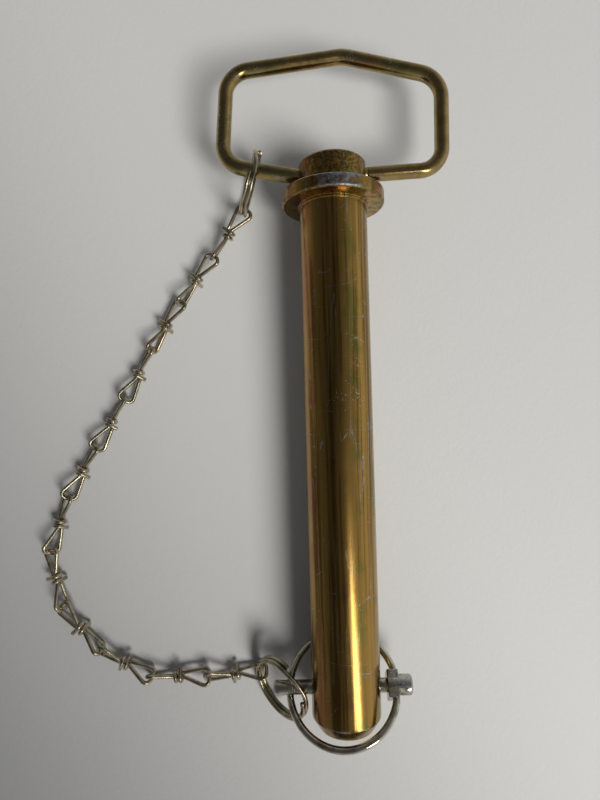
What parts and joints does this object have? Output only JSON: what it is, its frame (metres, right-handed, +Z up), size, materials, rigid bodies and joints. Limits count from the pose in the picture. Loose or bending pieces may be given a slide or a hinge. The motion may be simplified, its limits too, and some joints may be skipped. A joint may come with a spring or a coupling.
{
  "type": "hitch pin",
  "caption": "Turned hitch pin with a flanged head, a swing handle, a cross-drilled tip with a lynch pin and snap ring, and a keeper chain.",
  "frame": {"origin": "centre of the flange's seat, on the shank's axis", "axes": "+Z up from the surface the part lies on, +Y along the shank towards the handle, +X towards the lynch pin's head"},
  "size_m": [0.1632, 0.2581, 0.0387],
  "materials": {
    "gold_zinc": "yellow-passivated zinc plate, worn and scratched",
    "olive_zinc": "olive-gold passivated zinc plate",
    "bright_zinc": "bright zinc plate",
    "spring_wire": "plated spring wire",
    "chain_wire": "bright zinc-plated wire"
  },
  "bodies": {
    "pin": {"hitch_pin": "gold_zinc", "lynch_pin": "bright_zinc", "lynch_ring": "spring_wire", "split_ring_lower": "chain_wire", "chain_link_01": "chain_wire", "chain_link_02": "chain_wire", "chain_link_03": "chain_wire", "chain_link_04": "chain_wire", "chain_link_05": "chain_wire", "chain_link_06": "chain_wire", "chain_link_07": "chain_wire", "chain_link_08": "chain_wire", "chain_link_09": "chain_wire", "chain_link_10": "chain_wire", "chain_link_11": "chain_wire", "chain_link_12": "chain_wire"},
    "handle": {"handle": "olive_zinc"},
    "upper_ring": {"split_ring_upper": "chain_wire"}
  },
  "joints": [
    {"name": "handle_swing", "type": "hinge", "parent": "pin", "child": "handle", "pos_m": [0, 0.0123, 0.00026], "axis": [1, 0, 0], "range_deg": [-110, 110]},
    {"name": "upper_ring_rock", "type": "hinge", "parent": "pin", "child": "upper_ring", "pos_m": [-0.0355, 0.00267, -0.01109], "axis": [0.9839, -0.159, 0.082], "range_deg": [-19, 19]}
  ],
  "couplings": [
    {"joint": "upper_ring_rock", "follows": "handle_swing", "ratio": 0.167}
  ]
}
